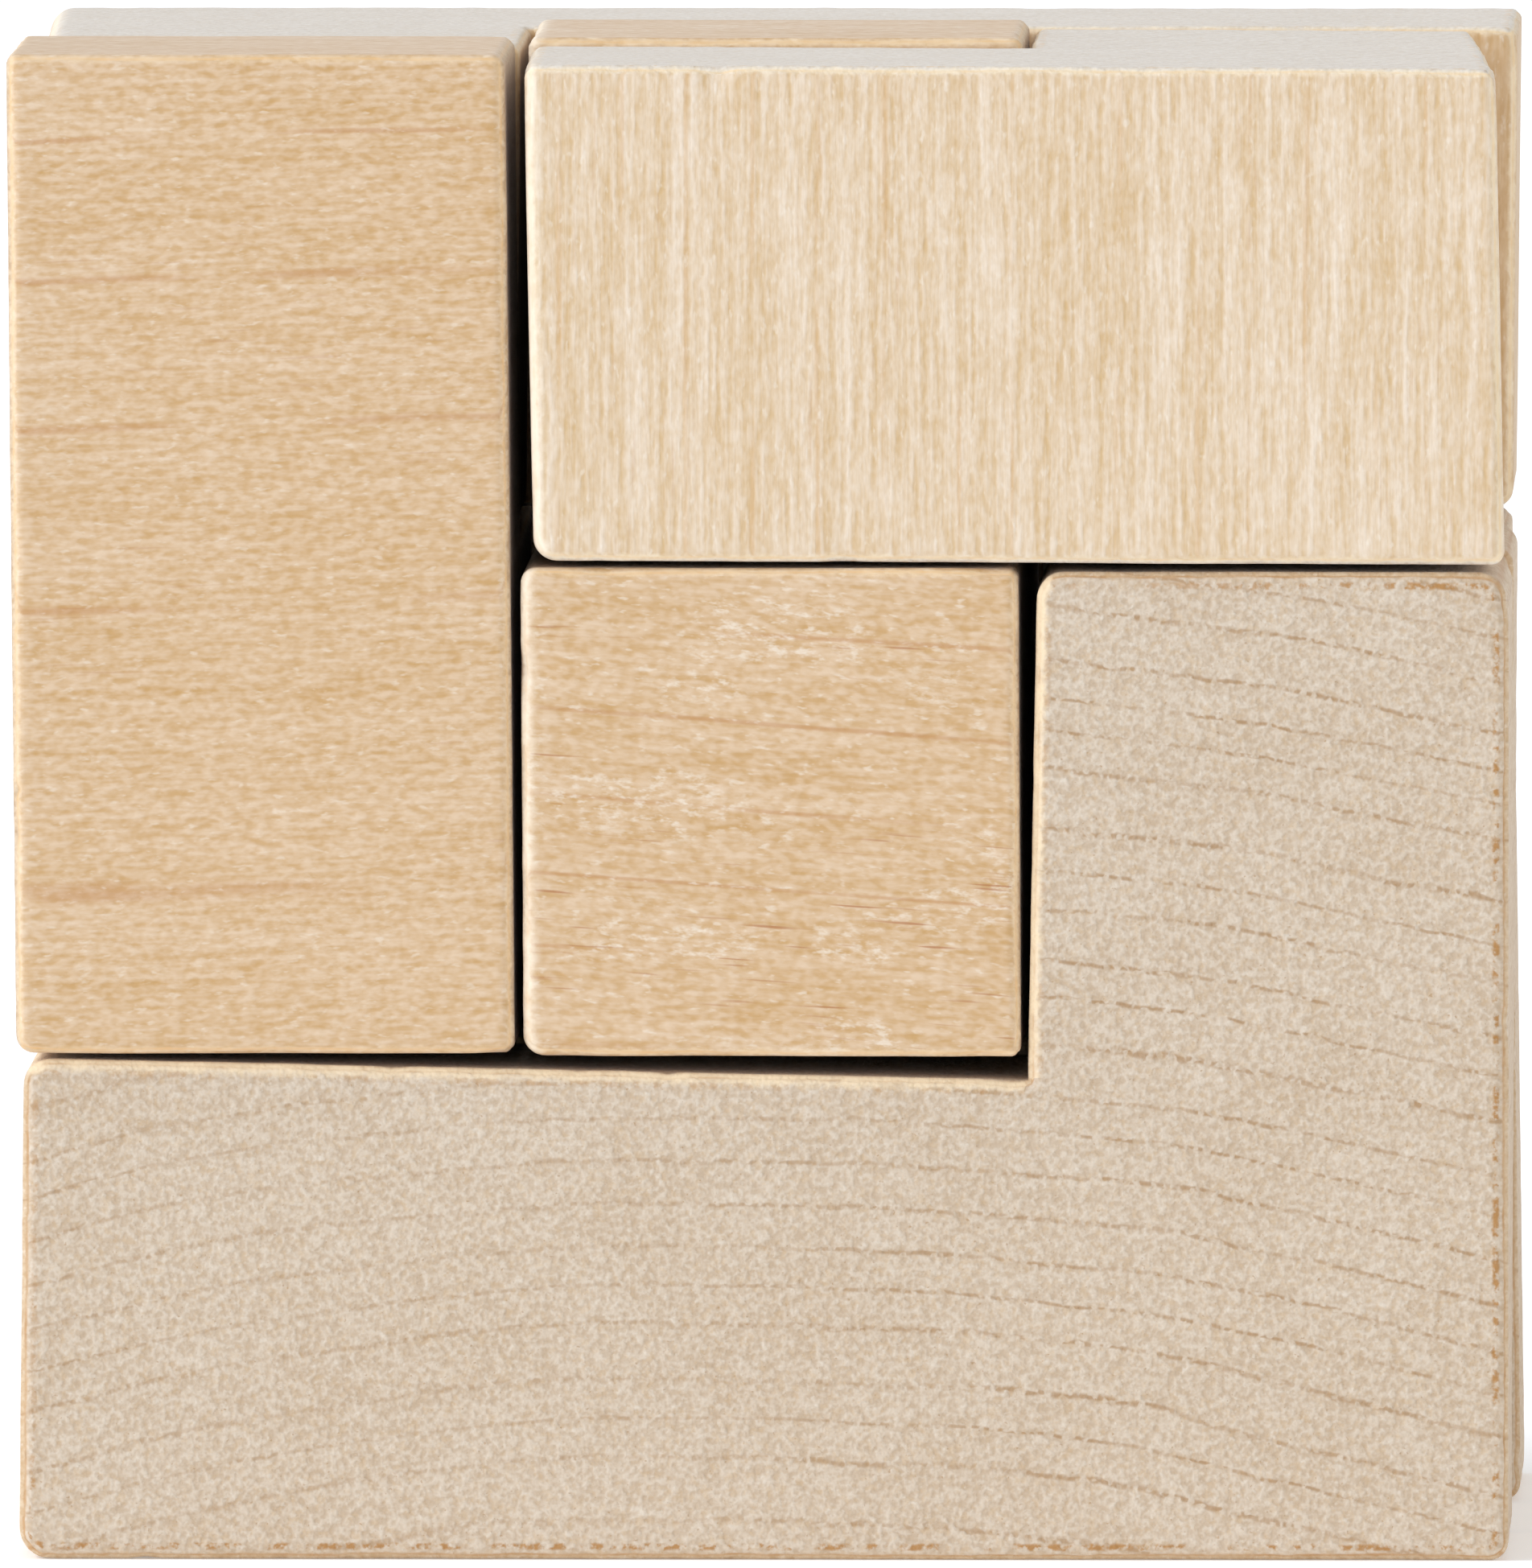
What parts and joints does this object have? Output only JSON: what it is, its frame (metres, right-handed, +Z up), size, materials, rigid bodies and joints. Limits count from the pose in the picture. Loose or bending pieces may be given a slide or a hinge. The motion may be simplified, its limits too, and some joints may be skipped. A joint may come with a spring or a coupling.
{
  "type": "wooden cube packing puzzle",
  "caption": "Wooden packing puzzle: flat L, T and V shaped blocks, one cell thick, that fill a cube and slide apart one by one.",
  "frame": {"origin": "on the surface the cube stands on, under the middle of the assembled cube", "axes": "+X to the right of the face that shows the L, the square and the two oblongs; +Y away from that face towards the back; +Z up"},
  "size_m": [0.0605, 0.06, 0.0604],
  "materials": {
    "grey_end_grain": "sawn end grain, unfinished, matt",
    "tan_long_grain": "sanded long grain, unfinished, matt",
    "pale_long_grain": "sanded long grain, unfinished, matt"
  },
  "bodies": {
    "middle_l": {"middle_l_block": "grey_end_grain"},
    "front_l": {"front_l_block": "grey_end_grain"},
    "back_l": {"back_l_block": "grey_end_grain"},
    "side_l": {"side_l_block": "tan_long_grain"},
    "top_l": {"top_l_block": "pale_long_grain"},
    "tee": {"tee_block": "tan_long_grain"},
    "vee": {"vee_block": "pale_long_grain"}
  },
  "joints": [
    {"name": "front_l_slide", "type": "slide", "parent": "middle_l", "child": "front_l", "axis": [0, -1, 0], "range_m": [0, 0.024]},
    {"name": "back_l_slide", "type": "slide", "parent": "middle_l", "child": "back_l", "axis": [0, 1, 0], "range_m": [0, 0.024]},
    {"name": "side_l_slide", "type": "slide", "parent": "middle_l", "child": "side_l", "axis": [-1, 0, 0], "range_m": [0, 0.024]},
    {"name": "top_l_lift", "type": "slide", "parent": "middle_l", "child": "top_l", "axis": [0, 0, 1], "range_m": [0, 0.024]},
    {"name": "tee_slide", "type": "slide", "parent": "middle_l", "child": "tee", "axis": [0, -1, 0], "range_m": [0, 0.064]},
    {"name": "vee_lift", "type": "slide", "parent": "tee", "child": "vee", "axis": [0, 0, 1], "range_m": [0, 0.024]}
  ]
}
